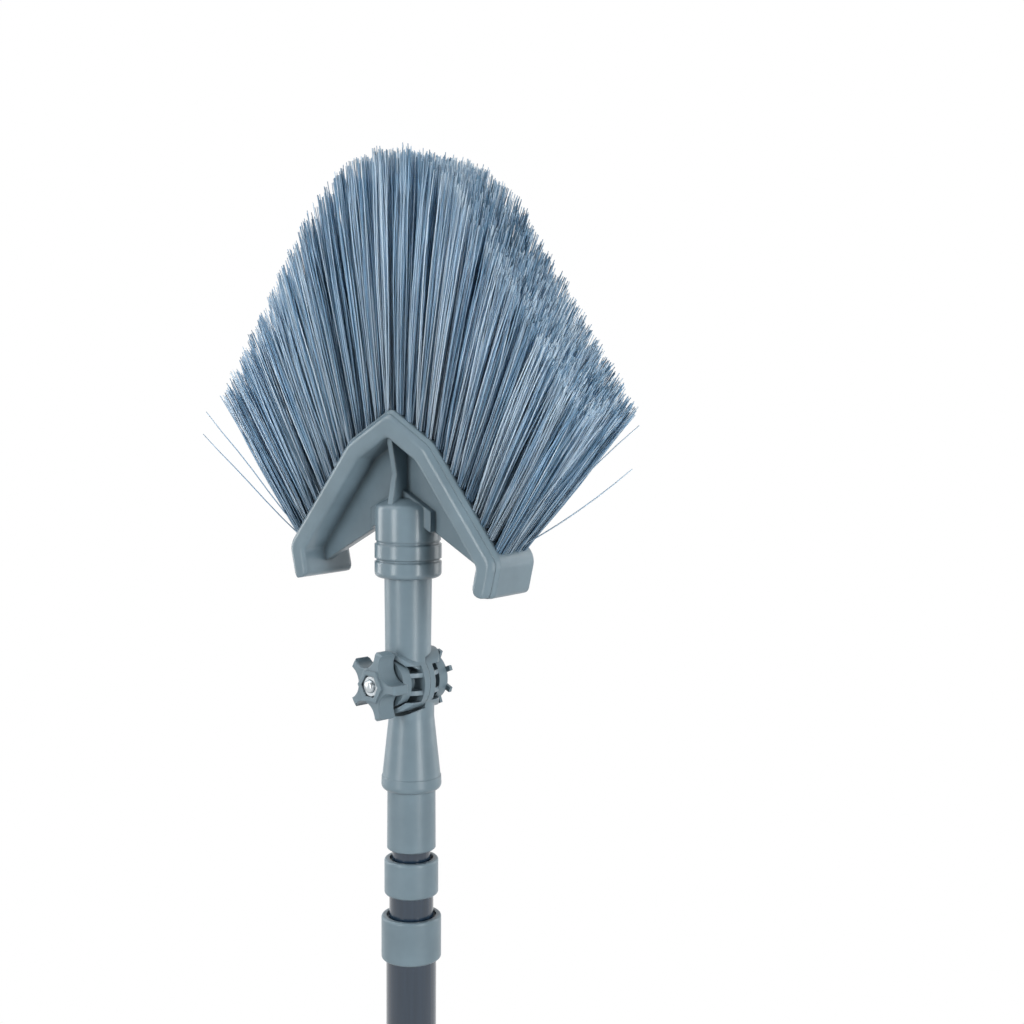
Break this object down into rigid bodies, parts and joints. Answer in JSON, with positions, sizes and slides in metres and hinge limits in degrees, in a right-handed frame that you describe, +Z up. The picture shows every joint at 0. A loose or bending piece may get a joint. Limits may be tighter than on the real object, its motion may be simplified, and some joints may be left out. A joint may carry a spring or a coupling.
{
  "type": "telescopic cobweb brush",
  "caption": "Fan-shaped bristle head on a hinged, knob-clamped elbow at the top of a telescopic twist-lock pole with a hanging grip.",
  "frame": {"origin": "centre of the hang hole in the grip, on the axis of the pole", "axes": "+Z up the pole towards the brush, -Y out of the front of the brush, +X to the right of the front"},
  "size_m": [0.2297, 0.0495, 1.4837],
  "materials": {
    "grip_plastic": "moulded, slightly matt",
    "moulded_plastic": "moulded, satin",
    "lock_plastic": "moulded, satin",
    "tube_coating": "gloss coating on steel",
    "zinc": "zinc plated",
    "bristle": "drawn plastic fibre"
  },
  "bodies": {
    "pole_outer": {"grip": "grip_plastic", "outer_tube": "tube_coating", "lower_collar": "moulded_plastic"},
    "middle_lock": {"middle_lock_ring": "lock_plastic"},
    "middle_section": {"middle_tube": "tube_coating", "middle_lock_plug": "lock_plastic", "upper_collar": "moulded_plastic"},
    "inner_lock": {"inner_lock_ring": "lock_plastic"},
    "inner_section": {"inner_tube": "tube_coating", "inner_lock_plug": "lock_plastic", "pole_tip": "moulded_plastic", "elbow_lower": "moulded_plastic", "clamp_bolt": "zinc"},
    "elbow_arm": {"elbow_upper": "moulded_plastic"},
    "knob_slide": {"knob_washer": "zinc"},
    "knob": {"star_knob": "moulded_plastic", "knob_nut": "zinc"},
    "head": {"head_block": "moulded_plastic", "tuft_anchors": "zinc", "bristles_left": "bristle", "bristles_right": "bristle"}
  },
  "joints": [
    {"name": "middle_slide", "type": "slide", "parent": "pole_outer", "child": "middle_lock", "axis": [0, 0, 1], "range_m": [0, 0.93]},
    {"name": "middle_twist", "type": "hinge", "parent": "middle_lock", "child": "middle_section", "pos_m": [0, 0, 0.1034], "axis": [0, 0, 1], "range_deg": [0, 12]},
    {"name": "inner_slide", "type": "slide", "parent": "middle_section", "child": "inner_lock", "axis": [0, 0, 1], "range_m": [0, 0.9]},
    {"name": "inner_twist", "type": "hinge", "parent": "inner_lock", "child": "inner_section", "pos_m": [0, 0, 0.1738], "axis": [0, 0, 1], "range_deg": [0, 12]},
    {"name": "elbow_tilt", "type": "hinge", "parent": "inner_section", "child": "elbow_arm", "pos_m": [0, 0, 1.21], "axis": [-0.1392, -0.9903, 0], "range_deg": [-90, 90]},
    {"name": "head_turn", "type": "hinge", "parent": "elbow_arm", "child": "head", "pos_m": [-0.00032, -0.00228, 1.261], "axis": [0, 0, 1], "range_deg": [0, 90]},
    {"name": "knob_travel", "type": "slide", "parent": "inner_section", "child": "knob_slide", "axis": [-0.1392, -0.9903, 0], "range_m": [0, 0.002]},
    {"name": "knob_turn", "type": "hinge", "parent": "knob_slide", "child": "knob", "pos_m": [0, 0, 1.21], "axis": [-0.1392, -0.9903, 0], "range_deg": [0, 720]}
  ],
  "couplings": [
    {"joint": "knob_travel", "follows": "knob_turn", "m_per_rad": 0.00015915}
  ]
}
